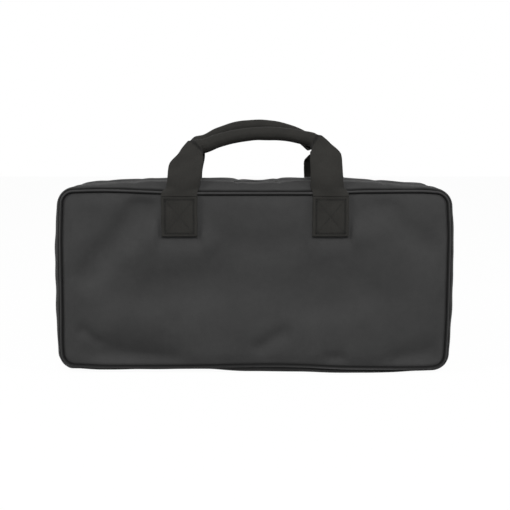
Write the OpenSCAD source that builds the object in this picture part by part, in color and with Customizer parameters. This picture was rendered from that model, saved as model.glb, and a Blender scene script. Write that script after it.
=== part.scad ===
// Soft padded carry case: a rear shell with the base, a front shell that folds down on its bottom
// seam, a zip round the other three sides and a webbing handle on each panel.
// Millimetres, +Z up, front panel towards -Y, origin on the floor under the middle of the case.

/* [Case] */
// width of each flat panel, seam to seam
panel_w = 530; // [440:1:620]
// height of each flat panel, seam to seam
panel_h = 243; // [190:1:290]
// depth of the case, front seam to rear seam
depth = 140; // [120:1:170]
// corner radius of the panels
panel_r = 15; // [14:1:24]
// how far the gusset stands out past the panel seams
bulge = 11; // [10.5:0.5:14]
// depth of the rounded shoulder between a panel and the flat of the gusset
shoulder = 19; // [17:1:20]
// how much of the bottom bulge is pressed flat by the floor
floor_flat = 3; // [2:0.5:4]

/* [Padding] */
// outer woven cover
cover_t = 1.2; // [0.8:0.1:1.6]
// foam sheet
foam_t = 8; // [5:0.5:9]
// lining cloth
lining_t = 0.8; // [0.5:0.1:1]
// free space between one layer and the next
layer_gap = 0.2; // [0.1:0.05:0.3]

/* [Seams] */
// diameter of the corded piping along the panel seams
pipe_d = 5; // [4:0.5:6]
// diameter of the bound seam ridge inside
binding_d = 4.4; // [3:0.2:5]
// clearance between the two shells
fold_gap = 0.2; // [0.15:0.05:0.4]

/* [Zip] */
// half of the running slot between the two coils
slot = 0.75; // [0.7:0.05:1]
// width of one coil
coil_w = 2.5; // [2:0.1:3]
// how far a coil stands out past the cover
coil_up = 1; // [0.6:0.1:1.4]
// width of one tape from the slot outwards
tape_w = 14; // [12:0.5:18]
// thickness of a tape
tape_t = 0.8; // [0.5:0.1:1]
// distance of the cover's folded edge from the middle of the zip
strip_edge = 6.5; // [6.2:0.1:8]
// height above the bottom seam at which the zip ends
zip_up = 3; // [2:0.5:8]
// rest position of the pair of sliders along the top
slider_x = 98.5; // [-120:0.5:120]

/* [Handles] */
// width of the webbing
web_w = 49; // [42:1:51]
// thickness of the webbing
web_t = 2; // [1.6:0.1:2.4]
// distance between the middles of a handle's two legs
leg_spacing = 205; // [195:1:230]
// height of the sewn ends on the panel
end_h = 54; // [44:1:66]
// distance of the top of the sewn ends below the top seam
end_drop = 6; // [5:0.5:10]
// length of a leg and the grip's arch, from the fold to the top of the grip
handle_rise = 115; // [105:1:120]
// half length of the wrapped grip
grip_half = 70; // [62:1:74]
// radius of the grip's arch
grip_arch = 150; // [130:5:220]
// lean of the front handle towards the middle
front_lean = 43; // [36:1:45]
// lean of the rear handle towards the middle
rear_lean = 34; // [30:1:43]
// how far the front grip may reach past the middle of the case
grip_over = 3.7; // [0:0.1:8]
// clearance between the two grips
grip_gap = 1.8; // [1:0.1:6]
// sideways offset of the rear handle
rear_shift = -3; // [-8:1:8]

/* [Hidden] */
$fn = 64;
d2 = depth / 2;
flat_y = d2 - shoulder;
arc_r = round(10 * (shoulder * shoulder + bulge * bulge) / (2 * bulge)) / 10;
mid_r = panel_r + bulge;
arc_c = mid_r - arc_r;
core_x = panel_w / 2 - panel_r;
seam_lo = bulge - floor_flat;
seam_hi = seam_lo + panel_h;
zip_end = seam_lo + zip_up;
core_lo = seam_lo + panel_r;
core_hi = seam_hi - panel_r;
case_top = seam_hi + bulge;
case_w2 = panel_w / 2 + bulge;
far = panel_w + panel_h;
lay1 = cover_t;
lay2 = lay1 + layer_gap;
lay3 = lay2 + foam_t;
lay4 = lay3 + layer_gap;
lay5 = lay4 + lining_t;
pipe_r = pipe_d / 2;
pipe_fit = 0.3;
bind_r = binding_d / 2;
bind_in = lay5 + bind_r + layer_gap;
bind_y = d2 - bind_in;
bind_rho = floor(10 * (arc_c + sqrt(pow(arc_r - bind_in, 2) - pow(shoulder - bind_in, 2)))) / 10;
tape_in = lay2 + tape_t;
foam_in = 2;
foam_y = slot + tape_w + foam_in;
base_side = 16;
base_x = core_x + base_side;
thread = 0.8;
end_t = 2 * web_t;
hinge_z = seam_hi - end_drop;
strap_fit = 0.3;
hinge_y = d2 + pipe_r + strap_fit + web_t;
strap_y = hinge_y - web_t / 2;
leg_clear = 5;
leg_min = end_drop + pipe_r + leg_clear;
lean_r = 30;
leg_turn = 22;
leg_in = 6;
wrap = 335;
web_cells = 10;
tube_r = web_w / (wrap * PI / 180);
grip_a = asin(grip_half / grip_arch);
core_fit = 0.3;
core_r = (tube_r - web_t / 2) * cos(wrap / (2 * web_cells)) - core_fit;
slit_fit = 0.1;
stitch_x = 5;
stitch_z = 4;
slider_l = 15;
slider_w2 = 5.4;
plate_t = 1.4;
plate_fit = 0.3;
coil_room = 1.6;
plate_hi = case_top + coil_up + coil_room;
plate_lo = case_top - tape_in - plate_fit - plate_t;
crown_l = 11;
crown_w = 3;
crown_h = 4;
crown_leg = 2;
crown_top = 1.3;
neck_fit = 0.25;
slider_gap = 0.3;
pull_l = 20;
pull_w = 9;
pull_t = 1.8;
pull_bar = 2;
pull_fit = 0.35;
pull_z = plate_hi + plate_t + pull_bar / 2 + pull_fit;

fabric = [0.23, 0.23, 0.23];
webbing = [0.18, 0.18, 0.17];
lining = [0.32, 0.33, 0.34];
foam = [0.55, 0.55, 0.52];
trim = [0.12, 0.12, 0.12];
metal = [0.4, 0.4, 0.42];

// The case's cross-section from its middle to one edge: flat across the depth with round shoulders.
module shoulder_2d(reach, t) {
  intersection() {
    union() {
      translate([0, -flat_y]) square([reach + mid_r - t, 2 * flat_y]);
      translate([0, -d2]) square([reach + arc_c, depth]);
      for (s = [-1, 1]) translate([reach + arc_c, s * flat_y]) circle(arc_r - t);
    }
    translate([0, t - d2]) square([far, depth - 2 * t]);
  }
}

module corner(x, z, turn, t) {
  translate([x, 0, z]) rotate([90, 0, 0]) rotate([0, 0, turn]) rotate_extrude(angle = 90) shoulder_2d(0, t);
}

// The whole padded body, filled, drawn in by t on every side and cut flat where it stands.
module body(t) {
  side_h = core_hi - core_lo;
  intersection() {
    union() {
      translate([-core_x, t - d2, core_lo]) cube([2 * core_x, depth - 2 * t, side_h]);
      translate([core_x, 0, core_hi]) rotate([0, -90, 0]) linear_extrude(2 * core_x) shoulder_2d(0, t);
      translate([-core_x, 0, core_lo]) rotate([0, 90, 0]) linear_extrude(2 * core_x) shoulder_2d(0, t);
      translate([core_x, 0, core_lo]) linear_extrude(side_h) shoulder_2d(0, t);
      translate([-core_x, 0, core_lo]) rotate([0, 0, 180]) linear_extrude(side_h) shoulder_2d(0, t);
      corner(core_x, core_hi, 0, t);
      corner(-core_x, core_hi, 90, t);
      corner(-core_x, core_lo, 180, t);
      corner(core_x, core_lo, 270, t);
    }
    translate([-far, -far, t]) cube([2 * far, 2 * far, 2 * far]);
  }
}

// Everything between two depths.
module band(y0, y1) {
  translate([-far, y0, -far]) cube([2 * far, y1 - y0, 3 * far]);
}

// A layer of the gusset, between the insets t0 and t1 and the depths y0 and y1.
module layer(t0, t1, y0, y1) {
  difference() {
    intersection() {
      body(t0);
      band(y0, y1);
    }
    body(t1);
  }
}

// The padded floor of the case, which stays with the rear shell; grow widens it on each side.
module base_zone(grow) {
  translate([-base_x - grow, -far, -far]) cube([2 * (base_x + grow), 2 * far, far + core_lo + grow]);
}

module below(z) {
  translate([-far, -far, z - far]) cube([2 * far, 2 * far, far]);
}

module above(z) {
  translate([-far, -far, z]) cube([2 * far, 2 * far, 2 * far]);
}

// A cord of radius r round a rounded rectangle in the plane y, w wide and from z0 to z1.
module cord_loop(r, y, w, z0, z1, bend) {
  x = w / 2 - bend;
  lo = z0 + bend;
  hi = z1 - bend;
  for (z = [z0, z1]) translate([-x, y, z]) rotate([0, 90, 0]) cylinder(r = r, h = 2 * x);
  for (s = [-1, 1]) translate([s * w / 2, y, lo]) cylinder(r = r, h = hi - lo);
  for (c = [[x, hi, 0], [-x, hi, 90], [-x, lo, 180], [x, lo, 270]])
    translate([c[0], y, c[1]]) rotate([90, 0, 0]) rotate([0, 0, c[2]]) rotate_extrude(angle = 90)
      translate([bend, 0]) circle(r);
}

module pipe_loop(r) {
  cord_loop(r, d2, panel_w, seam_lo, seam_hi, panel_r);
}

// The front shell is the rear shell mirrored through the zip.
module to_front() {
  mirror([0, 1, 0]) children();
}

module panel_cover() {
  color(fabric) difference() {
    intersection() {
      body(0);
      band(d2 - lay1, far);
    }
    pipe_loop(pipe_r + pipe_fit);
  }
}

module panel_foam() {
  color(foam) difference() {
    intersection() {
      body(lay2);
      band(d2 - lay3, d2 - lay2);
    }
    below(seam_lo);
    pipe_loop(pipe_r + pipe_fit);
  }
}

module panel_lining() {
  color(lining) intersection() {
    body(lay4);
    band(d2 - lay5, d2 - lay4);
  }
}

module gusset_cover() {
  color(fabric) difference() {
    layer(0, lay1, fold_gap, d2 - lay2);
    below(seam_lo);
    intersection() {
      band(0, strip_edge);
      above(zip_end);
    }
    pipe_loop(pipe_r + pipe_fit);
  }
}

module gusset_foam() {
  color(foam) difference() {
    layer(lay2, lay3, foam_y, d2 - lay4);
    base_zone(fold_gap);
    below(seam_lo);
    pipe_loop(pipe_r + pipe_fit);
  }
}

module gusset_lining() {
  color(lining) difference() {
    union() {
      layer(lay4, lay5, foam_y - lining_t - layer_gap, d2 - lay5 - layer_gap);
      layer(tape_in + layer_gap, lay5, foam_y - lining_t - layer_gap, foam_y - layer_gap);
    }
    base_zone(fold_gap);
    below(seam_lo);
  }
}

module base_cover() {
  color(fabric) difference() {
    layer(0, lay1, lay2 - d2, d2 - lay2);
    above(seam_lo - fold_gap);
    pipe_loop(pipe_r + pipe_fit);
    to_front() pipe_loop(pipe_r + pipe_fit);
  }
}

module base_foam() {
  color(foam) difference() {
    intersection() {
      layer(lay2, lay3, lay4 - d2, d2 - lay4);
      base_zone(0);
    }
    pipe_loop(pipe_r + pipe_fit);
    to_front() pipe_loop(pipe_r + pipe_fit);
  }
}

module base_lining() {
  lining_y = d2 - lay5 - layer_gap;
  color(lining) intersection() {
    layer(lay4, lay5, -lining_y, lining_y);
    base_zone(0);
  }
}

module piping() {
  color(trim) pipe_loop(pipe_r);
}

module binding() {
  drop = mid_r - bind_rho;
  color(trim) cord_loop(bind_r, bind_y, 2 * (case_w2 - drop), bind_in, case_top - drop, bind_rho);
}

module zip_tape() {
  color(trim) intersection() {
    layer(lay2, tape_in, slot, slot + tape_w);
    above(zip_end);
  }
}

module zip_coil() {
  color(trim) intersection() {
    layer(-coil_up, lay1, slot, slot + coil_w);
    above(zip_end);
  }
}

module zip_stitching() {
  color(trim) difference() {
    layer(-thread / 2, 0, strip_edge + 2, strip_edge + 2 + thread);
    below(zip_end);
  }
}

// A scrap of cover cloth over each end of the zip.
module zip_ends() {
  tab_h = 9;
  color(fabric) difference() {
    layer(-coil_up - layer_gap - cover_t, -coil_up - layer_gap, fold_gap, strip_edge + 2);
    above(zip_end + tab_h);
    below(zip_end - zip_up / 2);
  }
}

module handle_ends(shift) {
  color(webbing) for (s = [-1, 1])
    translate([shift + s * leg_spacing / 2 - web_w / 2, d2, hinge_z - end_h]) cube([web_w, end_t, end_h]);
}

// Box stitching with a cross, on each sewn end.
module end_stitching(shift) {
  w = web_w - 2 * stitch_x;
  h = end_h - 2 * stitch_z;
  color(trim) for (s = [-1, 1])
    translate([shift + s * leg_spacing / 2, d2 + end_t, hinge_z - end_h / 2]) rotate([-90, 0, 0])
      linear_extrude(thread / 2) {
        difference() {
          square([w, h], center = true);
          square([w - 2 * thread, h - 2 * thread], center = true);
        }
        for (d = [-1, 1]) rotate(d * atan(h / w)) square([norm([w, h]) - 2 * thread, thread], center = true);
      }
}

// The strap lies on a sheet that leaves the panel upright and leans in over the case. A hang is
// [lean, length of the upright part]: past the seam, and longer where the grips would meet.
function hang(lean, inner) =
  let (reach = strap_y - lean_r * (1 - cos(lean)) - tube_r * (1 + cos(lean)) - web_t / 2 - inner)
  [lean, max(leg_min, handle_rise - lean_r * lean * PI / 180 - reach / sin(lean))];
front_hang = hang(front_lean, -grip_over);
rear_hang = hang(rear_lean, grip_over + grip_gap);
function lean_turn(h, v) = min(max((v - h[1]) / lean_r * 180 / PI, 0), h[0]);
function lean_run(h, v) = max(v - h[1] - lean_r * h[0] * PI / 180, 0);
function lean_y(h, v) = strap_y - lean_r * (1 - cos(lean_turn(h, v))) - lean_run(h, v) * sin(h[0]);
function lean_z(h, v) = hinge_z + min(v, h[1]) + lean_r * sin(lean_turn(h, v)) + lean_run(h, v) * cos(h[0]);

// Its middle line on that sheet: an arch for the grip, then a Bezier leg down to the sewn end.
grip_end_v = handle_rise - grip_arch * (1 - cos(grip_a));
leg_pts = [
  [grip_half, grip_end_v],
  [grip_half + leg_turn * cos(grip_a), grip_end_v - leg_turn * sin(grip_a)],
  [leg_spacing / 2 - leg_in, grip_end_v * 0.62],
  [leg_spacing / 2, strap_fit]
];
function bez(t) =
  pow(1 - t, 3) * leg_pts[0] + 3 * t * pow(1 - t, 2) * leg_pts[1]
  + 3 * t * t * (1 - t) * leg_pts[2] + pow(t, 3) * leg_pts[3];
function bez_d(t) =
  let (d = pow(1 - t, 2) * (leg_pts[1] - leg_pts[0]) + 2 * t * (1 - t) * (leg_pts[2] - leg_pts[1])
    + t * t * (leg_pts[3] - leg_pts[2])) d / norm(d);
function ease(t) = let (s = min(max(t, 0), 1)) s * s * (3 - 2 * s);

leg_rings = 14;
grip_rings = 12;
// the direction along a leg, turned upright at the sewn end so that the strap ends square
function leg_dir(t) = let (k = ease((t - 0.7) / 0.3), d = (1 - k) * bez_d(t) + k * [0, -1]) d / norm(d);
// each entry: place on the sheet, direction along the strap, how far it is wrapped into a tube
leg_line = [
  for (i = [1 : leg_rings]) let (t = i / leg_rings) [bez(t), leg_dir(t), 1 - ease((t - 0.12) / 0.5)]
];
grip_line = [
  for (i = [0 : grip_rings]) let (a = grip_a * (2 * i / grip_rings - 1))
    [[grip_arch * sin(a), handle_rise - grip_arch * (1 - cos(a))], [cos(a), -sin(a)], 1]
];
strap_line = concat(
  [for (i = [leg_rings - 1 : -1 : 0]) let (p = leg_line[i])
    [[-p[0][0], p[0][1]], [p[1][0], -p[1][1]], p[2]]],
  grip_line,
  leg_line
);

// One ring of the strap: its outer face from edge to edge, then its inner face back.
function strap_ring(h, p) =
  let (
    turn = lean_turn(h, p[0][1]),
    out = [0, cos(turn), sin(turn)],
    up = [0, -sin(turn), cos(turn)],
    across = [p[1][1], 0, 0] - p[1][0] * up,
    base = [p[0][0], lean_y(h, p[0][1]), lean_z(h, p[0][1])],
    r = tube_r / max(p[2], 0.002)
  )
  [for (f = [0, 1]) for (i = [0 : web_cells])
    let (
      k = f == 0 ? i : web_cells - i,
      a = web_w * (k / web_cells - 0.5) / r * 180 / PI,
      n = cos(a) * out + sin(a) * across
    )
    base + r * sin(a) * across - r * (1 - cos(a)) * out + (0.5 - f) * web_t * n];

module handle_strap(h, shift) {
  m = 2 * (web_cells + 1);
  last = len(strap_line) - 1;
  pts = [for (p = strap_line) each strap_ring(h, p)];
  walls = [
    for (j = [0 : last - 1]) for (i = [0 : m - 1])
      let (a = j * m + i, b = j * m + (i + 1) % m)
      each [[a, a + m, b], [b, a + m, b + m]]
  ];
  caps = [
    for (i = [0 : web_cells - 1])
      let (a = i, b = i + 1, c = m - 2 - i, d = m - 1 - i, e = last * m)
      each [[a, b, c], [a, c, d], [e + a, e + c, e + b], [e + a, e + d, e + c]]
  ];
  color(webbing) translate([shift, 0, 0]) polyhedron(pts, concat(walls, caps));
}

// A round bar along the grip's arch, depth off the outer face of the sheet.
module arch_bar(h, shift, off, r) {
  run = handle_rise - grip_arch - h[1] - lean_r * h[0] * PI / 180;
  y = strap_y - lean_r * (1 - cos(h[0])) - run * sin(h[0]);
  z = hinge_z + h[1] + lean_r * sin(h[0]) + run * cos(h[0]);
  translate([shift, y, z]) rotate([90 + h[0], 0, 0]) translate([0, 0, off]) rotate([0, 0, 90 - grip_a])
    rotate_extrude(angle = 2 * grip_a) translate([grip_arch, 0]) circle(r);
}

module handle_core(h, shift) {
  color(trim) arch_bar(h, shift, tube_r, core_r);
}

module grip_thread(h, shift) {
  color(trim) arch_bar(h, shift, 2 * tube_r, web_t / 2 + slit_fit);
}

// A zip slider: plates over and under the coils, a thin neck in the slot and a crown for the pull.
// nose is the end, -1 or 1 along X, where the two coils part.
module slider(x, nose) {
  neck_l = 4;
  color(metal) translate([x, 0, 0]) {
    translate([-slider_l / 2, -slider_w2, plate_hi]) cube([slider_l, 2 * slider_w2, plate_t]);
    translate([-slider_l / 2, -slider_w2, plate_lo]) cube([slider_l, 2 * slider_w2, plate_t]);
    translate([nose * (slider_l - neck_l) / 2 - neck_l / 2, neck_fit - slot, plate_lo])
      cube([neck_l, 2 * (slot - neck_fit), plate_hi + plate_t - plate_lo]);
    difference() {
      translate([-crown_l / 2, -crown_w / 2, plate_hi]) cube([crown_l, crown_w, plate_t + crown_h]);
      translate([crown_leg - crown_l / 2, -crown_w, plate_hi + plate_t])
        cube([crown_l - 2 * crown_leg, 2 * crown_w, crown_h - crown_top]);
    }
  }
}

// A pull with a round cross-bar under the crown, lying flat away from the slider's nose.
module pull(x, nose) {
  arm_l = 8;
  color(metal) translate([x, 0, pull_z]) rotate([0, 0, nose > 0 ? 180 : 0]) {
    rotate([90, 0, 0]) cylinder(d = pull_bar, h = pull_w, center = true);
    for (s = [-1, 1]) translate([0, s * (pull_w / 2 - 1.1) - 1.1, -pull_t / 2]) cube([arm_l, 2.2, pull_t]);
    difference() {
      translate([arm_l, -pull_w / 2, -pull_t / 2]) cube([pull_l - arm_l, pull_w, pull_t]);
      translate([pull_l - pull_w / 2, 0, -pull_t]) cylinder(d = 3.5, h = 2 * pull_t);
    }
  }
}

panel_cover();  // rear_panel_cover
panel_foam();  // rear_panel_foam
panel_lining();  // rear_panel_lining
gusset_cover();  // rear_gusset_cover
gusset_foam();  // rear_gusset_foam
gusset_lining();  // rear_gusset_lining
base_cover();
base_foam();
base_lining();
piping();  // rear_piping
binding();  // rear_binding
zip_tape();  // rear_zip_tape
zip_coil();  // rear_zip_coil
zip_stitching();  // rear_zip_stitching
zip_ends();  // rear_zip_ends
handle_ends(rear_shift);  // rear_handle_ends
end_stitching(rear_shift);  // rear_end_stitching
handle_strap(rear_hang, rear_shift);  // rear_handle_strap
handle_core(rear_hang, rear_shift);  // rear_handle_core
grip_thread(rear_hang, rear_shift);  // rear_grip_thread
to_front() panel_cover();  // front_panel_cover
to_front() panel_foam();  // front_panel_foam
to_front() panel_lining();  // front_panel_lining
to_front() gusset_cover();  // front_gusset_cover
to_front() gusset_foam();  // front_gusset_foam
to_front() gusset_lining();  // front_gusset_lining
to_front() piping();  // front_piping
to_front() binding();  // front_binding
to_front() zip_tape();  // front_zip_tape
to_front() zip_coil();  // front_zip_coil
to_front() zip_stitching();  // front_zip_stitching
to_front() zip_ends();  // front_zip_ends
to_front() handle_ends(0);  // front_handle_ends
to_front() end_stitching(0);  // front_end_stitching
to_front() handle_strap(front_hang, 0);  // front_handle_strap
to_front() handle_core(front_hang, 0);  // front_handle_core
to_front() grip_thread(front_hang, 0);  // front_grip_thread
slider(slider_x - slider_l / 2 - slider_gap, 1);  // left_slider
pull(slider_x - slider_l / 2 - slider_gap, 1);  // left_pull
slider(slider_x + slider_l / 2 + slider_gap, -1);  // right_slider
pull(slider_x + slider_l / 2 + slider_gap, -1);  // right_pull
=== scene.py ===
import bmesh
import bpy
import numpy as np
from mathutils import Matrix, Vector


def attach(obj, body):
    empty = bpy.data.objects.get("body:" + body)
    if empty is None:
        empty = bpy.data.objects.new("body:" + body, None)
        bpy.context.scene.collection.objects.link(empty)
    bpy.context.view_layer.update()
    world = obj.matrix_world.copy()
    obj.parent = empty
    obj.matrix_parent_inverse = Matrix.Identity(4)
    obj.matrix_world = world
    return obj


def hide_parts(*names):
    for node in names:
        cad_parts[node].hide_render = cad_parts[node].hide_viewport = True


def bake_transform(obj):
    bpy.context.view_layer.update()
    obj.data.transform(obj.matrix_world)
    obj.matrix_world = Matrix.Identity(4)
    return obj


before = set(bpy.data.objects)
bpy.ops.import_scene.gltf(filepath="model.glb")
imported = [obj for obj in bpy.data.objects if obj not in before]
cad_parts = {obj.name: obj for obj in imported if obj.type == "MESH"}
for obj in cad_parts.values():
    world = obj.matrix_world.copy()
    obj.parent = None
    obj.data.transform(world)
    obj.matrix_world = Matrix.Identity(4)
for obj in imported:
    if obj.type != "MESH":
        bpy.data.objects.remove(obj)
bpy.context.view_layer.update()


# The studio: a white room and floor, a wide lamp high in front and a smaller one at each side. The
# floor shows white but keeps a faint shadow, and the camera stands where the photograph's stood.
class Dye:
    """A socket of a node tree. Arithmetic on it adds Math nodes, so weaves and masks read as formulas."""

    def __init__(self, tree, socket=None):
        self.tree, self.socket = tree, socket

    def node(self, kind, settings={}, links={}, out=0):
        """Any other node: its settings come first, then its sockets' values or links; gives one output."""
        new = self.tree.nodes.new(kind)
        for name, value in settings.items():
            setattr(new, name, value)
        for key, value in links.items():
            if isinstance(value, Dye):
                self.tree.links.new(value.socket, new.inputs[key])
            else:
                new.inputs[key].default_value = value
        return Dye(self.tree, new.outputs[out])

    def into(self, socket):
        self.tree.links.new(self.socket, socket)

    def math(self, operation, *values):
        return self.node("ShaderNodeMath", {"operation": operation}, dict(enumerate(values)))

    def __add__(self, other):
        return self.math("ADD", self, other)

    def __sub__(self, other):
        return self.math("SUBTRACT", self, other)

    def __rsub__(self, other):
        return self.math("SUBTRACT", other, self)

    def __mul__(self, other):
        return self.math("MULTIPLY", self, other)

    __radd__, __rmul__ = __add__, __mul__


def seen_white(tree):
    """1 where a camera, glossy or transmitted ray meets the white room, 0 for the light it gives."""
    ray = Dye(tree)
    eye, gloss, through = (ray.node("ShaderNodeLightPath", out=name) for name in
                           ("Is Camera Ray", "Is Glossy Ray", "Is Transmission Ray"))
    return eye.math("MAXIMUM", eye, gloss.math("MAXIMUM", gloss, through))


def dyed(name):
    """A new material, its tree to build in and its shader."""
    material = bpy.data.materials.new(name)
    material.use_nodes = True
    return material, Dye(material.node_tree), material.node_tree.nodes["Principled BSDF"]


def placed(name, data):
    """A new object with that data, in the scene."""
    thing = bpy.data.objects.new(name, data)
    scene.collection.objects.link(thing)
    return thing


ROOM_LIGHT = 0.08
FLOOR_HALF, FLOOR_Z = 6, -0.0006
FLOOR_GLOW, FLOOR_WHITE = 1.03, 0.94
CASE_MIDDLE = (0, 0, 0.12)
WHITE = (1, 1, 1, 1)

scene = bpy.context.scene
scene.view_settings.view_transform = "Standard"

room = bpy.data.worlds.new("room")
room.use_nodes = True
scene.world = room
background = room.node_tree.nodes["Background"]
background.inputs["Color"].default_value = WHITE
(seen_white(room.node_tree) * (1 - ROOM_LIGHT) + ROOM_LIGHT).into(background.inputs["Strength"])

floor_mesh = bpy.data.meshes.new("studio_floor")
floor_corners = [(a * FLOOR_HALF, b * FLOOR_HALF, FLOOR_Z) for a, b in ((-1, -1), (1, -1), (1, 1), (-1, 1))]
floor_mesh.from_pydata(floor_corners, [], [(0, 1, 2, 3)])
floor = placed("studio_floor", floor_mesh)
floor_paint, ink, shader = dyed("studio_white")
shader.inputs["Base Color"].default_value = (0.5, 0.5, 0.5, 1)
shader.inputs["Roughness"].default_value = 0.9
glow = ink.node("ShaderNodeEmission", {}, {"Color": WHITE, "Strength": FLOOR_GLOW})
ink.node("ShaderNodeMixShader", {}, {
    0: seen_white(ink.tree) * FLOOR_WHITE, 1: Dye(ink.tree, shader.outputs[0]), 2: glow,
}).into(ink.tree.nodes["Material Output"].inputs["Surface"])
floor_mesh.materials.append(floor_paint)


def lamp(name, place, size, power):
    """A square soft lamp of that size in metres at place, facing the middle of the case."""
    data = bpy.data.lights.new(name, "AREA")
    data.shape, data.size, data.energy = "SQUARE", size, power
    stand = placed(name, data)
    stand.location = place
    stand.rotation_euler = (Vector(CASE_MIDDLE) - Vector(place)).to_track_quat("-Z", "Y").to_euler()


lamp("front_softbox", (0.3, -3.45, 2.85), 1.3, 144)
lamp("left_softbox", (-1.9, -1.0, 1.3), 0.6, 28)
lamp("right_softbox", (2.0, -1.0, 1.2), 0.6, 24)

# The camera was fitted to the panel's seams and the case's outline in the photograph.
camera_data = bpy.data.cameras.new("photo_camera")
camera_data.lens, camera_data.sensor_width = 64.7, 36
camera = placed("photo_camera", camera_data)
camera.location = (0, -1.310, 0.328)
camera.rotation_euler = (np.radians(82.531), 0, 0)
scene.camera = camera


# The base: the padded strip that the case stands on, black woven polyester outside, foam inside and
# a taffeta lining. It runs round the bottom corners to where the two zip strips are sewn to it.
# All sizes are in millimetres until made() puts them into a mesh.
MM = 0.001
# The case's outline runs round a core rectangle, and every strip lies at a distance rho from it. MARKS
# are the lengths along it, from the middle of the bottom, at which its straights and corners end; the
# base ends at JOIN, part of the way round the bottom corners.
CORE_X, CORE_LO, CORE_HI = 250.0, 23.0, 236.0
MID_RHO = 26.0
RISE, TURN = CORE_HI - CORE_LO, np.pi / 2 * MID_RHO
MARKS = np.cumsum([0, CORE_X, TURN, RISE, TURN, 2 * CORE_X, TURN, RISE, TURN, CORE_X])
JOIN = CORE_X + 0.61 * TURN
# In depth the gusset is flat out to FLAT_Y and then rounds on CURVE_R to the seam at SEAM_Y. The padding
# is PAD thick, the cover's edge lies under the piping at EDGE_RHO, and the lining's in the bound seam
# at HEM_RHO.
SEAM_Y, FLAT_Y = 70.0, 51.0
CURVE_RHO, CURVE_R = 4.1, 21.9
PAD, EDGE_RHO, HEM_RHO = 10.4, 14.4, [13.0, 13.6]
PRESS_ROUND, PRESS_SINK = 1.2, 0.1
PAD_SWELL, ZIP_DIP, DIP_WIDTH, REAR_WAVE = 3.0, 3.2, 30, 0.2
# Painted seam shade: the gusset's colour darkens towards SEAM_SHADE from this depth on, over this run.
SEAM_SHADE_FROM, SEAM_SHADE_RUN = 65.3, 2.6
SEAM_SHADE = (0.005, 0.005, 0.005, 1)


def smooth(t):
    """Smoothstep: 0 up to t = 0, 1 from t = 1, and 3t^2 - 2t^3 between."""
    t = np.clip(t, 0, 1)
    return t * t * (3 - 2 * t)


def curve(t, knots, values):
    """A smooth line through points that never overshoots: cubic Hermite pieces, level at a turning point
    and elsewhere with the harmonic mean of the slopes on both sides."""
    knots, values = np.asarray(knots, float), np.asarray(values, float)
    chord = np.diff(values, axis=0) / np.diff(knots).reshape((-1,) + (1,) * (values.ndim - 1))
    both = chord[:-1] * chord[1:]
    total = chord[:-1] + chord[1:]
    inner = np.where(both > 0, 2 * both / np.where(total == 0, 1, total), 0)
    slope = np.concatenate([chord[:1], inner, chord[-1:]])
    i = np.clip(np.searchsorted(knots, t) - 1, 0, len(knots) - 2)
    h = knots[i + 1] - knots[i]
    s = np.clip((t - knots[i]) / h, 0, 1)
    if values.ndim > 1:
        h, s = h[..., None], s[..., None]
    return (values[i] * (1 + 2 * s) * (1 - s) ** 2 + values[i + 1] * s * s * (3 - 2 * s)
            + h * s * (1 - s) * (slope[i] * (1 - s) - slope[i + 1] * s))


def rim(s):
    """The point s along the case's outline, from the middle of the bottom to the right and round: the
    core rectangle's edge (x, z) and the outward direction (nx, nz), which turns at the four corners."""
    s = np.mod(s, MARKS[-1])
    x = np.interp(s, MARKS, [0] + [CORE_X] * 4 + [-CORE_X] * 4 + [0])
    z = np.interp(s, MARKS, [CORE_LO] * 3 + [CORE_HI] * 4 + [CORE_LO] * 3)
    a = np.radians(np.interp(s, MARKS, [-90, -90, 0, 0, 90, 90, 180, 180, 270, 270]))
    return x, z, np.cos(a), np.sin(a)


def shoulder(y, inset=0.0):
    """Distance of the gusset from the core at depth y: flat across the middle, round to the seams."""
    over = np.maximum(np.abs(y) - FLAT_Y, 0)
    return CURVE_RHO + np.sqrt(np.maximum((CURVE_R - inset) ** 2 - over ** 2, 0))


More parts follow.
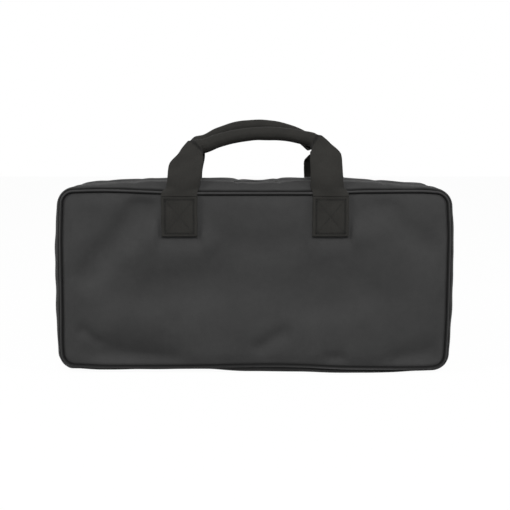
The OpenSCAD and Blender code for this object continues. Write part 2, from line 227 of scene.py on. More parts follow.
def settle(points):
    """Where a point of the square-cut case comes to lie on the packed, standing one. The sides draw in
    towards the bottom, the top bows down to its corners and dips in the middle, the pads swell beside
    the zip, and the bottom seam lifts and sags along its length. Each is a smooth line through a few
    points, set against the photograph's outline and faded in by depth and height. On both
    panels, turned runs from left to right as seen from outside."""
    x, y, z = points[..., 0], points[..., 1], points[..., 2]
    depth = np.abs(y)
    turned = np.where(y < 0, x, -x)
    seam = smooth((depth - 53) / 15)
    low_seam = smooth((depth - 62) / 6)
    pad = smooth((depth - 10) / 18) * (1 - seam)
    side = smooth((np.abs(x) - 140) / 120)
    top = smooth((z - 140) / 105)
    low = smooth((70 - z) / 60)
    under = low * smooth((depth - 42) / 18) * (1 - low_seam)
    slider_run = (1 - smooth((depth - 12) / 12)) * (1 - smooth((np.abs(x) - 162) / 36))

    heights = [0, 40, 90, 180, 260]
    left, right = curve(z, heights, [-1.5, -0.5, 1, 0, -6]), curve(z, heights, [-5, -4.5, -1.5, -2, -7])
    draw = np.where(x < 0, left, right)
    left, right = curve(z, heights, [-1, 2, 1, 0, -4]), curve(z, heights, [-3.5, -1, 0, 0, -4.5])
    draw_seam = np.where(x < 0, left, right)
    bow = curve(x, [-280, -230, -110, 110, 230, 280], [-11, -4.5, 0, 0, -7, -11.5]) * (1 - slider_run)
    top_wave = curve(turned, [-265, -210, -75, 75, 150, 225, 270], [0.5, 2, -2, -2, 0.5, 1, -2])
    top_wave = top_wave * np.where(y < 0, 1, REAR_WAVE)
    dip = ZIP_DIP * np.exp(-(x / DIP_WIDTH) ** 2)
    lift = curve(turned, [-255, -215, -90, -10, 190, 250], [5, 2.5, 5, 0.5, 0, 2.5])
    push = curve(turned, [-20, 60, 125, 225], [0, 2, 8, 1])
    seam_lift = curve(turned, [-265, -200, -100, 25, 130, 225, 265], [3.5, 1, 1, 3, 0.5, -1, 1])

    dx = np.sign(x) * side * ((1 - seam) * draw + seam * draw_seam)
    dy = np.sign(y) * low * push * smooth((depth - 48) / 10) * smooth((11 - z) / 8)
    dz = (top * ((1 - seam) * bow + seam * top_wave + pad * (PAD_SWELL - dip))
          + under * lift + low * low_seam * seam_lift)
    return np.stack([x + dx, y + dy, z + dz], -1)


def ripple(a, b, length, seed):
    """Soft unevenness, about -1 to 1: eight cosine waves of random direction and phase round a length."""
    waves = 8
    rng = np.random.default_rng(seed)
    turns = rng.uniform(0, np.pi, waves)
    starts = rng.uniform(0, 7, waves)
    stretches = rng.uniform(0.6, 1.6, waves)
    total = np.zeros(np.broadcast(a, b).shape)
    for turn, start, stretch in zip(turns, starts, stretches):
        total = total + np.cos(2 * np.pi * stretch / length * (a * np.cos(turn) + b * np.sin(turn)) + start)
    return 2 * total / waves


def face_out(mesh):
    """Turns all faces of a closed mesh the same way, and outward: its signed volume comes out positive."""
    work = bmesh.new()
    work.from_mesh(mesh)
    bmesh.ops.recalc_face_normals(work, faces=work.faces)
    if work.calc_volume(signed=True) < 0:
        bmesh.ops.reverse_faces(work, faces=work.faces)
    work.to_mesh(mesh)
    work.free()


def made(name, points, faces, corner_uv, materials):
    """A smooth-shaded piece of these points in millimetres and these faces, with its weave coordinates."""
    mesh = bpy.data.meshes.new(name)
    mesh.from_pydata((points.reshape(-1, 3) * MM).tolist(), [], faces)
    mesh.uv_layers.new(name="weave").data.foreach_set("uv", corner_uv.ravel() * MM)
    face_out(mesh)
    mesh.polygons.foreach_set("use_smooth", np.ones(len(mesh.polygons), bool))
    for material in materials:
        mesh.materials.append(material)
    return placed(name, mesh)


def grid_faces(rows, columns, uv):
    """Quads through a grid of closed rows, the weave coordinates of their corners, and their columns."""
    i, j = np.mgrid[0:rows - 1, 0:columns]
    k = (j + 1) % columns
    quads = np.stack([i * columns + j, i * columns + k, (i + 1) * columns + k, (i + 1) * columns + j], -1)
    corner_uv = np.stack([uv[i, j], uv[i, j + 1], uv[i + 1, j + 1], uv[i + 1, j]], -2)
    return quads.reshape(-1, 4), corner_uv.reshape(-1, 2), j.ravel()


def skin(name, materials, points, uv, ends="face", lined=None, painted_shade=None):
    """A mesh of quads through the grid points[i, j] with closed rows; uv has one more column. ends fills
    the first and last row with one face, or a flat row with quads across it ("quads"), or leaves them
    open (None). lined is the slice of columns that are lining. The last argument gives each point's
    painted shade, 0 to 1: its base colour is darkened towards black there for the shadow in seams, folds and
    stitch grooves."""
    n, m = points.shape[:2]
    quads, corner_uv, columns = grid_faces(n, m, uv)
    a = np.arange(m // 2 - 1)
    caps = {None: [], "face": [list(range(m))],
            "quads": np.stack([a, a + 1, m - 2 - a, m - 1 - a], -1).tolist()}[ends]
    caps = caps + [[k + (n - 1) * m for k in face] for face in caps]
    spare = np.zeros((sum(map(len, caps)), 2))
    piece = made(name, points, quads.tolist() + caps, np.concatenate([corner_uv, spare]), materials)
    if lined is not None:
        cloth = np.zeros(m, np.int32)
        cloth[lined] = 1
        numbers = np.concatenate([cloth[columns], np.zeros(len(caps), np.int32)])
        piece.data.polygons.foreach_set("material_index", numbers)
    if painted_shade is not None:
        deep = np.broadcast_to(painted_shade, (n, m)).ravel()
        piece.data.attributes.new("painted_shade", "FLOAT", "POINT").data.foreach_set("value", deep.astype(np.float32))
    return piece


def lengths(points):
    """Distance run along the rows of points."""
    return np.concatenate([[0], np.cumsum(np.linalg.norm(np.diff(points, axis=0), axis=-1))])


def carry(s, y, rho, floor_z=None):
    """A profile (y, rho) carried along the outline: core point plus rho along the outward direction. Where
    floor_z is given it is pressed flat there: a height h over it goes to (h + sqrt(h^2 + PRESS_ROUND)) / 2,
    less PRESS_SINK."""
    x0, z0, nx, nz = (v[:, None] for v in rim(s))
    y, rho = np.broadcast_arrays(y, rho)
    z = z0 + rho * nz
    if floor_z is not None:
        h = z - floor_z
        z = floor_z + (h + np.sqrt(h ** 2 + PRESS_ROUND)) / 2 - PRESS_SINK
    return np.stack([x0 + rho * nx, np.broadcast_to(y, z.shape), z], -1)


def grid_uv(along, around):
    """Weave coordinates of a grid: along from row to row, and around within each row."""
    return np.stack(np.broadcast_arrays(along[:, None], around[None]), -1)


def strip_uv(s, y, rho):
    """Weave coordinates of a strip: along its run s and round its closed profile (y, rho)."""
    return grid_uv(s, lengths(np.stack([np.append(y, y[0]), np.append(rho, rho[0])], -1)))


def seam_shade_mask(y):
    """Painted seam shade on the gusset and base: 0 up to 3 mm before the piping, 1 under it."""
    return smooth((np.abs(y) - SEAM_SHADE_FROM) / SEAM_SHADE_RUN)


def opens(piece, side):
    """Rear pieces are attached to the rear shell. Front ones, and the base, have their placing baked into
    their mesh and are not attached to a body."""
    if side > 0:
        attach(piece, "rear_shell")
    else:
        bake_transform(piece)


def grey(level):
    """A neutral colour."""
    return (level, level, level)


def thread_axes(ink, turn=0.0):
    """The two weave coordinates, turned by an angle, in metres."""
    place = ink.node("ShaderNodeUVMap", {"uv_map": "weave"})
    place = ink.node("ShaderNodeMapping", {}, {"Vector": place, "Rotation": (0, 0, turn)})
    return (ink.node("ShaderNodeSeparateXYZ", {}, {0: place}, out) for out in (0, 1))


def cloud(ink, scale, detail=3.0):
    """Soft noise on the piece's own place, scale per metre, about 0 to 1."""
    place = ink.node("ShaderNodeTexCoord", out="Object")
    return ink.node("ShaderNodeTexNoise", {}, {"Vector": place, "Scale": scale, "Detail": detail})


def bump(ink, shader, height, depth):
    """Relief of that depth in metres."""
    relief = ink.node("ShaderNodeBump", {}, {"Height": height, "Distance": depth, "Strength": 1.0})
    relief.into(shader.inputs["Normal"])


def mixed(ink, amount, first, second):
    """A colour between two. A Mix node's colours are its inputs 6 and 7 and its output 2."""
    return ink.node("ShaderNodeMix", {"data_type": "RGBA"}, {0: amount, 6: first, 7: second}, 2)


def tone(ink, shader, dark, light, amount):
    """Base colour between two tones, darkened towards nearly black by a point attribute of painted shade,
    which stands for the shadow in seams, folds and stitch grooves.
    """
    dye = mixed(ink, amount, (*dark, 1), (*light, 1))
    # Painted shade: this attribute darkens the colour towards SEAM_SHADE.
    painted_shade = ink.node("ShaderNodeAttribute", {"attribute_name": "painted_shade"}, out="Fac")
    mixed(ink, painted_shade, dye, SEAM_SHADE).into(shader.inputs["Base Color"])


def wave(value, pitch):
    """A sine of that pitch in metres."""
    return value.math("SINE", value * (2 * np.pi / pitch))


def plain_weave(name, dark, light, pitch, depth, rough, sheen, turn=0.0):
    """Plain-woven cloth: threads cross over and under on a chequer, sin(u) sin(v), with slubs along each
    thread, a slow change of shade and some sheen."""
    material, ink, shader = dyed(name)
    u, v = thread_axes(ink, turn)
    cross = wave(u, pitch) * wave(v, pitch)
    slub = cloud(ink, 900.0, 2.0)
    shade = cloud(ink, 22.0)
    worn = cloud(ink, 120.0)
    tone(ink, shader, dark, light, cross * 0.16 + slub * 0.35 + shade * 0.5 + worn * 0.2 - 0.05)
    (rough + (shade - 0.5) * 0.12 - cross * 0.04).into(shader.inputs["Roughness"])
    bump(ink, shader, cross * 0.5 + slub * 0.5, depth)
    shader.inputs["Sheen Weight"].default_value = sheen
    shader.inputs["Sheen Roughness"].default_value = 0.45
    shader.inputs["Specular IOR Level"].default_value = 0.06
    return material


cover_cloth = plain_weave("cover_cloth", grey(0.023), grey(0.048),
                          pitch=0.0011, depth=0.00012, rough=0.62, sheen=0.0)
lining_cloth = plain_weave("lining_cloth", (0.062, 0.064, 0.068), (0.088, 0.090, 0.094),
                           pitch=0.0005, depth=0.00004, rough=0.55, sheen=0.05)
padded_cloths = [cover_cloth, lining_cloth]

cover_edge = np.concatenate([[69.0, 68.7], np.linspace(68.2, FLAT_Y, 16)])
base_out = np.concatenate([cover_edge, np.linspace(48, -48, 40), -cover_edge[::-1]])
base_rho = shoulder(base_out)
base_rho[[0, -1]] = EDGE_RHO
lining_edge = np.concatenate([[60.2, 59.3], np.linspace(58.5, FLAT_Y, 8)])
base_in = np.concatenate([-lining_edge, np.linspace(-46, 46, 24), lining_edge[::-1]])
base_in_rho = shoulder(base_in, PAD)
base_in_rho[:2] = HEM_RHO[::-1]
base_in_rho[-2:] = HEM_RHO
base_y = np.concatenate([base_out, base_in])
past_join = 1.2
base_s = np.linspace(-JOIN - past_join, JOIN + past_join, 190)
over_strips = 0.5 * smooth((np.abs(base_s) - JOIN + 7) / 4)[:, None]
base_uneven = 0.35 * ripple(base_s[:, None], base_out[None], 60, 3)
base_cover = carry(base_s, base_out, base_rho + over_strips + base_uneven, 0.0)
base_lining = carry(base_s, base_in, base_in_rho, PAD)
base_pad = skin("base_pad", padded_cloths, settle(np.concatenate([base_cover, base_lining], 1)),
                strip_uv(base_s, base_y, np.concatenate([base_rho, base_in_rho])),
                lined=slice(len(base_out), None), painted_shade=seam_shade_mask(base_y))
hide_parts("base_cover", "base_foam", "base_lining")
opens(base_pad, -1)


# The zip strips: one padded strip of the same cloth on each side of the zip, round the sides and the
# top. The cover folds under at the zip, and the lining closes the foam's edge behind the tape.
SIDES = ((1, "rear"), (-1, "front"))
ZIP_EDGE = 6.5
# Each crease across the top: its place along x, its width and its depth.
TOP_CREASES = ((-27, 5, 1.5), (31, 4, 1.2), (-168, 7, 0.9), (176, 6, 0.9))
strip_s = np.arange(JOIN, MARKS[-1] - JOIN + 1, 2.9)
strip_out = np.concatenate([[69.0, 68.7], np.linspace(68.2, FLAT_Y, 18), np.linspace(49, 8, 20),
                            [7.0, ZIP_EDGE, 6.25]])
strip_rho = shoulder(strip_out)
strip_rho[0] = EDGE_RHO
strip_rho[-2:] = [25.8, 25.3]
behind_tape = [ZIP_EDGE, 8, 12, 15.3, 15.7, 15.8, 15.9, 16.4]
behind_tape_rho = [24.8, 24.75, 24.7, 24.6, 24.0, 20.0, 16.3, 15.7]
strip_lining = np.array([20, 26, 32, 38, 44, FLAT_Y, 54, 56.5, 58.5, 59.3, 60.2])
strip_in = np.concatenate([behind_tape, strip_lining])
strip_in_rho = np.concatenate([behind_tape_rho, shoulder(strip_lining, PAD)])
strip_in_rho[-2:] = HEM_RHO
strip_y = np.concatenate([strip_out, strip_in])
cover_points = len(strip_out) + 3


def top_crease(s, y):
    """Short dents across the top pads, each a narrow bell across and a hump between zip and seam."""
    x = 0.5 * (MARKS[4] + MARKS[5]) - s
    slant = 0.12 * (np.abs(y) - 30)
    dents = sum(deep * np.exp(-((x - at - slant) / width) ** 2) for at, width, deep in TOP_CREASES)
    return dents * smooth((np.abs(y) - 12) / 14) * (1 - smooth((np.abs(y) - 60) / 8))


for side, word in SIDES:
    swell = 0.9 * np.sin(np.pi * np.clip((strip_out - 8) / 54, 0, 1)) ** 2
    uneven = 0.4 * ripple(strip_s[:, None], strip_out[None], 55, 11 + side) * smooth((strip_out - 7) / 6)
    cover = strip_rho + swell + uneven - top_crease(strip_s[:, None], strip_out[None])
    lining = np.broadcast_to(strip_in_rho, (len(strip_s), len(strip_in)))
    points = settle(carry(strip_s, side * strip_y[None], np.concatenate([cover, lining], 1)))
    strip = skin(f"{word}_zip_strip", padded_cloths, points,
                 strip_uv(strip_s, strip_y, np.concatenate([strip_rho, strip_in_rho])),
                 lined=slice(cover_points, None), painted_shade=seam_shade_mask(strip_y))
    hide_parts(f"{word}_gusset_cover", f"{word}_gusset_foam", f"{word}_gusset_lining")
    opens(strip, side)


# The panels: a padded sheet of cover cloth, foam and lining, sewn in all round under the piping. The
# cover is cut a little full: Blender's Cloth gives its slack, and the long folds, which run from the
# handles and the corners, are drawn on the front where the photograph shows them.
PANEL_X, PANEL_LO, PANEL_HI, PANEL_R = 265.0, 8.0, 251.0, 15.0
PANEL_MID, PANEL_HALF = (PANEL_HI + PANEL_LO) / 2, (PANEL_HI - PANEL_LO) / 2
PATCH_X, PATCH_LO, PATCH_HI = 102.5, 191.0, 245.0
CORNER, CORNER_SPARE, EDGE_REACH = 40, 11, 60
SLACK_IN, SLACK_OUT = -1.5, 4.0
PROUD_IN, PROUD_OUT = 7, 9
LINING_Y, LINING_X_SHARE, LINING_Z_SHARE = 59.8, 0.985, 0.965
# Each fold runs from one (x, z) to another, as seen from outside; then come its width and its height,
# which is negative in a valley. The front's were read off the photograph.
FRONT_FOLDS = [
    (-145, 240, -235, 130, 19, -10),  # the drag from the left handle's top corner
    (-125, 210, -180, 155, 18, 5),    # the swell on its lower side
    (-45, 178, 60, 175, 34, -7),      # the hollow between the handles
    (-140, 180, -50, 182, 18, 5),     # the swell just below the left handle
    (-150, 115, -50, 125, 28, -11),   # the hollow under that swell
    (-50, 130, 60, 115, 32, -6),      # the same hollow, fainter, across the middle
    (80, 180, 165, 195, 18, 5),       # the swell just below the right handle
    (40, 105, 165, 120, 34, -12),     # the hollow under that swell
    (165, 240, 245, 170, 20, -5),     # the crease right of the right handle
    (-200, 75, -135, 70, 20, 6),      # the swell above the bottom left crease
    (-220, 25, -105, 0, 24, -11),     # the bottom left crease
    (-240, 65, -212, 40, 9, -4),      # the short crease above its left end
    (0, 30, 45, 60, 12, -5),          # the short crease at the bottom, right of the middle
    (95, 16, 125, 18, 11, -5),        # the pucker at the bottom seam
    (185, 5, 255, 30, 22, -8),        # the hollow in the bottom right corner
]
# The photograph doesn't show the rear, so its folds are invented.
REAR_FOLDS = [
    (150, 240, 210, 165, 17, -6), (120, 180, 20, 158, 22, 5), (-120, 230, -200, 120, 16, -5),
    (-60, 150, -150, 138, 22, 4), (240, 70, 190, 32, 10, -4), (-240, 60, -190, 26, 11, -5),
    (0, 50, 60, 30, 13, -4), (-110, 36, -60, 22, 12, -4), (170, 95, 120, 80, 22, 4),
]


def panel_outline(u, v):
    """The square grid drawn on to a rounded rectangle: in a corner a quarter square (a, b) goes to the
    quarter disc (a sqrt(1 - b^2/2), b sqrt(1 - a^2/2))."""
    x, z = u * PANEL_X, v * PANEL_HALF
    a = np.maximum(np.abs(x) - PANEL_X + PANEL_R, 0) / PANEL_R
    b = np.maximum(np.abs(z) - PANEL_HALF + PANEL_R, 0) / PANEL_R
    x = np.sign(x) * (np.minimum(np.abs(x), PANEL_X - PANEL_R) + PANEL_R * a * np.sqrt(1 - b * b / 2))
    z = np.sign(z) * (np.minimum(np.abs(z), PANEL_HALF - PANEL_R) + PANEL_R * b * np.sqrt(1 - a * a / 2))
    return x, z + PANEL_MID


def gap_to_edge(x, z):
    """Distance from the sewn edge, up to EDGE_REACH: from the nearest side, and in a corner from an arc of
    radius CORNER, with CORNER_SPARE added on the diagonal because the panel's own corner is tighter."""
    to_side = np.minimum(np.minimum(PANEL_X - np.abs(x), z - PANEL_LO), PANEL_HI - z)
    a = np.maximum(np.abs(x) - PANEL_X + CORNER, 0)
    b = np.maximum(np.abs(z - PANEL_MID) - PANEL_HALF + CORNER, 0)
    to_arc = CORNER - np.hypot(a, b) + CORNER_SPARE * smooth(np.minimum(a, b) / CORNER)
    return np.clip(np.minimum(to_side, to_arc), 0, EDGE_REACH)


def near_patches(x, z, aside, aside_run, below, below_run):
    """1 on the handles' sewn ends, faded to 0 at aside from their middles and at below under them."""
    off = np.abs(np.abs(x) - PATCH_X)
    return smooth((aside - off) / aside_run) * smooth((z - PATCH_LO + below) / below_run)


def fold(x, z, x0, z0, x1, z1, width, height):
    """A ridge, or with a negative height a valley, from one point to another: a bell across the line,
    faded out past its ends."""
    run = np.hypot(x1 - x0, z1 - z0)
    tx, tz = (x1 - x0) / run, (z1 - z0) / run
    along = (x - x0) * tx + (z - z0) * tz
    off = (z - z0) * tx - (x - x0) * tz
    fade = smooth((along + width) / (2 * width)) * smooth((run - along + width) / (2 * width))
    return height * fade * np.exp(-(off / width) ** 2)


def slacken(x, z, sewn):
    """Blender's Cloth on the flat cover, sewn down where sewn is true and cut 0.2 percent full: a light
    pressure lifts it for 20 frames. Gives how far each point came out, held to SLACK_IN and SLACK_OUT."""
    n, m = x.shape
    i, j = np.mgrid[0:n - 1, 0:m - 1]
    quads = np.stack([i * m + j, (i + 1) * m + j, (i + 1) * m + j + 1, i * m + j + 1], -1).reshape(-1, 4)
    mesh = bpy.data.meshes.new("loose_cover")
    mesh.from_pydata((np.stack([x, 0 * x, z], -1).reshape(-1, 3) * MM).tolist(), [], quads.tolist())
    loose = placed("loose_cover", mesh)
    group = loose.vertex_groups.new(name="sewn")
    group.add(np.flatnonzero(sewn.ravel()).tolist(), 1.0, "REPLACE")
    cloth = loose.modifiers.new("cloth", "CLOTH")
    how = cloth.settings
    how.vertex_group_mass, how.quality, how.mass = "sewn", 5, 0.25
    how.tension_stiffness, how.compression_stiffness = 15, 4
    how.shear_stiffness, how.bending_stiffness = 4, 0.3
    how.shrink_min, how.use_pressure, how.uniform_pressure_force = -0.002, True, 4.0
    how.effector_weights.gravity = 0
    cloth.collision_settings.use_collision = False
    for number in range(1, 21):
        scene.frame_set(number)
    done = loose.evaluated_get(bpy.context.evaluated_depsgraph_get()).to_mesh()
    out = np.empty(n * m * 3)
    done.vertices.foreach_get("co", out)
    scene.frame_set(1)
    bpy.data.objects.remove(loose)
    return np.clip(-out.reshape(n, m, 3)[..., 1] / MM, SLACK_IN, SLACK_OUT)


panel_u, panel_v = np.meshgrid(np.linspace(-1, 1, 179), np.linspace(-1, 1, 83), indexing="ij")
panel_x, panel_z = panel_outline(panel_u, panel_v)
edge_gap = gap_to_edge(panel_x, panel_z)
on_patch = near_patches(panel_x, panel_z, aside=36, aside_run=11, below=36, below_run=34)
held_flat = near_patches(panel_x, panel_z, aside=100, aside_run=75, below=85, below_run=85)
border = (np.abs(panel_u) > 0.985) | (np.abs(panel_v) > 0.97)
slack = slacken(panel_x, panel_z, border | (on_patch > 0.9))

for (side, word), folds in zip(SIDES, (REAR_FOLDS, FRONT_FOLDS)):
    facing = -side * panel_x
    loose = slack if side < 0 else slack[::-1]
    full = smooth(edge_gap / 20) * (1 - on_patch)
    drawn_in = -2.0 * np.exp(-edge_gap / 1.9)
    crown = (1.2 * smooth(edge_gap / 18) + 0.6 * full * loose) * (1 - held_flat)
    drags = sum(fold(facing, panel_z, *line) for line in folds)
    drags = full * (drags + 0.5 * ripple(panel_x, panel_z, 70, 5 + side))
    puckers = 0.3 * ripple(panel_x, panel_z, 17, 8 + side) * smooth(edge_gap / 4) * np.exp(-edge_gap / 16)
    proud = drawn_in + crown + drags + puckers
    reach = np.where(proud < 0, PROUD_IN, PROUD_OUT)
    proud = reach * np.tanh(proud / reach)
    outer = np.stack([panel_x, side * (SEAM_Y + proud), panel_z], -1)
    lining_y = side * (LINING_Y + 0.25 * ripple(panel_x, panel_z, 90, 21 + side))
    lining_z = PANEL_MID + (panel_z - PANEL_MID) * LINING_Z_SHARE
    inner = np.stack([panel_x * LINING_X_SHARE, lining_y, lining_z], -1)
    weave = np.stack([panel_x, panel_z], -1)
    # Painted shade along the panel's sewn edge, dark within a few millimetres of the piping; the lining gets
    # none.
    deep = 0.85 * np.exp(-(edge_gap / 2.7) ** 2)
    panel = skin(f"{word}_panel_pad", padded_cloths, settle(np.concatenate([outer, inner[:, ::-1]], 1)),
                 np.concatenate([weave, weave[:, ::-1], weave[:, :1]], 1), ends="quads",
                 lined=slice(panel_x.shape[1], -1), painted_shade=np.concatenate([deep, 0 * deep], 1))
    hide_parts(f"{word}_panel_cover", f"{word}_panel_foam", f"{word}_panel_lining")
    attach(panel, f"{word}_shell")


# The piping: a cord in a bias-cut strip of the cover cloth, sewn into the seam round each panel.
# Its cloth runs at 45 degrees, and the cord shows through as a slight unevenness.
PIPE_R, PIPE_RHO, PIPE_FACETS = 2.1, 15.0, 16
piping_cloth = plain_weave("piping_cloth", grey(0.026), grey(0.046),
                           pitch=0.0011, depth=0.0001, rough=0.6, sheen=0.0, turn=np.pi / 4)
pipe_s = np.linspace(0, MARKS[-1], 620)[:-1]
pipe_a = np.linspace(0, 2 * np.pi, PIPE_FACETS + 1)[:-1]


def closed_tube(name, cloth, y, rho, girth, floor_z=None, painted_shade=None):
    """A tube round the whole outline through rings (y, rho), closed on its first ring; girth is the length
    of the cloth round it."""
    rings = carry(pipe_s, y, rho, floor_z)
    rings = settle(np.concatenate([rings, rings[:1]]))
    uv = grid_uv(np.append(pipe_s, MARKS[-1]), np.linspace(0, girth, PIPE_FACETS + 1))
    return skin(name, [cloth], rings, uv, ends=None, painted_shade=painted_shade)


for side, word in SIDES:
    cord_r = PIPE_R * (1 + 0.03 * ripple(pipe_s[:, None], 4 * pipe_a[None], 14, 31 + side))
    # Painted shade on the piping's sides, which leaves a lighter line along its crest.
    piping_side_shade = 0.85 * smooth((0.94 - np.cos(pipe_a - np.pi / 4)) / 0.4)
    piping = closed_tube(f"{word}_piping_cord", piping_cloth, side * (SEAM_Y + cord_r * np.sin(pipe_a)),
                         PIPE_RHO + cord_r * np.cos(pipe_a), 2 * np.pi * PIPE_R, painted_shade=piping_side_shade[None])
    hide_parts(f"{word}_piping")
    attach(piping, f"{word}_shell")


# The bound seams inside: the raw edges of panel and gusset, bound in ribbed tape that stands up as a
# flat ridge round the inside of each shell.
BIND_Y, BIND_RHO, BIND_FLOOR = 57.2, 10.7, 11.6
BIND_HALF_T, BIND_HALF_W, BIND_GIRTH = 1.3, 2.3, 11.5
binding_cloth, ink, shader = dyed("binding_tape")
u, v = thread_axes(ink)
tape_rib = wave(u, 0.0012)
tone(ink, shader, grey(0.018), grey(0.038), tape_rib * 0.3 + cloud(ink, 60.0) * 0.7)
(0.62 + tape_rib * 0.06).into(shader.inputs["Roughness"])
bump(ink, shader, tape_rib * 0.5 + wave(v, 0.0006) * 0.15, 0.00015)
for side, word in SIDES:
    uneven = 0.2 * ripple(pipe_s[:, None], 0 * pipe_a[None], 40, 41 + side)
    binding = closed_tube(f"{word}_seam_binding", binding_cloth,
                          side * (BIND_Y + BIND_HALF_T * np.sin(pipe_a)),
                          BIND_RHO + BIND_HALF_W * np.cos(pipe_a) + uneven, BIND_GIRTH, BIND_FLOOR)
    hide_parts(f"{word}_binding")
    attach(binding, f"{word}_shell")


# The zip: a nylon coil on a woven tape along each edge, sewn under the folded cover with one row of
# stitches, and a scrap of cover cloth over each end of it.
COIL_PITCH, COIL_STEPS, COIL_FACETS = 1.7, 9, 5
COIL_Y, COIL_SINK, COIL_HALF_W, COIL_HALF_T, COIL_WIRE_R = 2.0, 0.25, 1.05, 0.85, 0.36
THREAD_R = 0.36
SEW_Y, SEW_RHO, SEW_PITCH, SEW_GAP = 9.0, MID_RHO + 0.1, 3.4, 0.3
TAB_LONG, TAB_PRESS = 12, 2.5
zip_s = np.arange(JOIN + 3.0, MARKS[-1] - JOIN - 2.5, 3.0)
tape_cloth, ink, shader = dyed("zip_tape")
u, v = thread_axes(ink)
tape_rib = wave(u, 0.0009) * wave(v, 0.0009)
tone(ink, shader, grey(0.015), grey(0.034), tape_rib * 0.25 + cloud(ink, 80.0) * 0.75)
(0.68 + tape_rib * 0.06).into(shader.inputs["Roughness"])
bump(ink, shader, tape_rib, 0.00008)

coil_nylon, ink, shader = dyed("nylon_coil")
grime = cloud(ink, 180.0)
tone(ink, shader, grey(0.012), grey(0.030), grime)
(0.30 + grime * 0.2).into(shader.inputs["Roughness"])
bump(ink, shader, cloud(ink, 1500.0), 0.00003)

sewing_thread, ink, shader = dyed("sewing_thread")
u, v = thread_axes(ink)
ply = wave(u + v * 1.4, 0.0007)
tone(ink, shader, (0.013, 0.0128, 0.0122), (0.031, 0.0305, 0.029), ply * 0.3 + cloud(ink, 300.0) * 0.7)
(0.6 + ply * 0.08).into(shader.inputs["Roughness"])
shader.inputs["Specular IOR Level"].default_value = 0.06
bump(ink, shader, ply, 0.00006)


def unit(vectors):
    """The same directions, 1 long."""
    return vectors / np.linalg.norm(vectors, axis=-1, keepdims=True)


def tube(centre, across, out, radius, facets):
    """Rings round each centre: radius times cos(a) across plus sin(a) out."""
    a = np.linspace(0, 2 * np.pi, facets + 1)[:-1][None, :, None]
    return centre[:, None] + radius * (np.cos(a) * across[:, None] + np.sin(a) * out[:, None])


def on_outline(s, y, rho):
    """The points of a line along the outline at depth y and distance rho, and the outward direction."""
    x0, z0, nx, nz = rim(s)
    return np.stack([x0 + rho * nx, y + 0 * x0, z0 + rho * nz], -1), np.stack([nx, 0 * nx, nz], -1)


def stitches(name, start, end, out, girth):
    """Lock stitches from each start to its end: round bars with five rings of six points that rise a
    little towards out in the middle and dive into the cloth at both ends."""
    t = np.array([0, 0.12, 0.5, 0.88, 1])
    thick = girth * np.array([0.35, 0.9, 1, 0.9, 0.35])
    rise = girth * np.array([-1.2, 0.1, 0.5, 0.1, -1.2])
    count, rings, facets = len(start), len(t), 6
    core = start[:, None] + (end - start)[:, None] * t[None, :, None] + out[:, None] * rise[None, :, None]
    wide = np.repeat(np.cross(unit(end - start), out), rings, 0)
    points = tube(core.reshape(-1, 3), wide, np.repeat(out, rings, 0),
                  np.tile(thick, count)[:, None, None], facets)
    long = np.linalg.norm(end - start, axis=-1).mean()
    uv = grid_uv(t * long, np.linspace(0, 2 * np.pi * girth, facets + 1))
    quads, corner_uv, _ = grid_faces(rings, facets, uv)
    ring_point = np.arange(facets)
    caps = np.stack([ring_point[::-1], ring_point + (rings - 1) * facets])
    first = rings * facets * np.arange(count)[:, None, None]
    quads, caps = (quads + first).reshape(-1, 4), (caps + first).reshape(-1, facets)
    corner_uv = np.concatenate([np.tile(corner_uv, (count, 1)), np.zeros((caps.size, 2))])
    piece = made(name, points, quads.tolist() + caps.tolist(), corner_uv, [sewing_thread])
    return piece


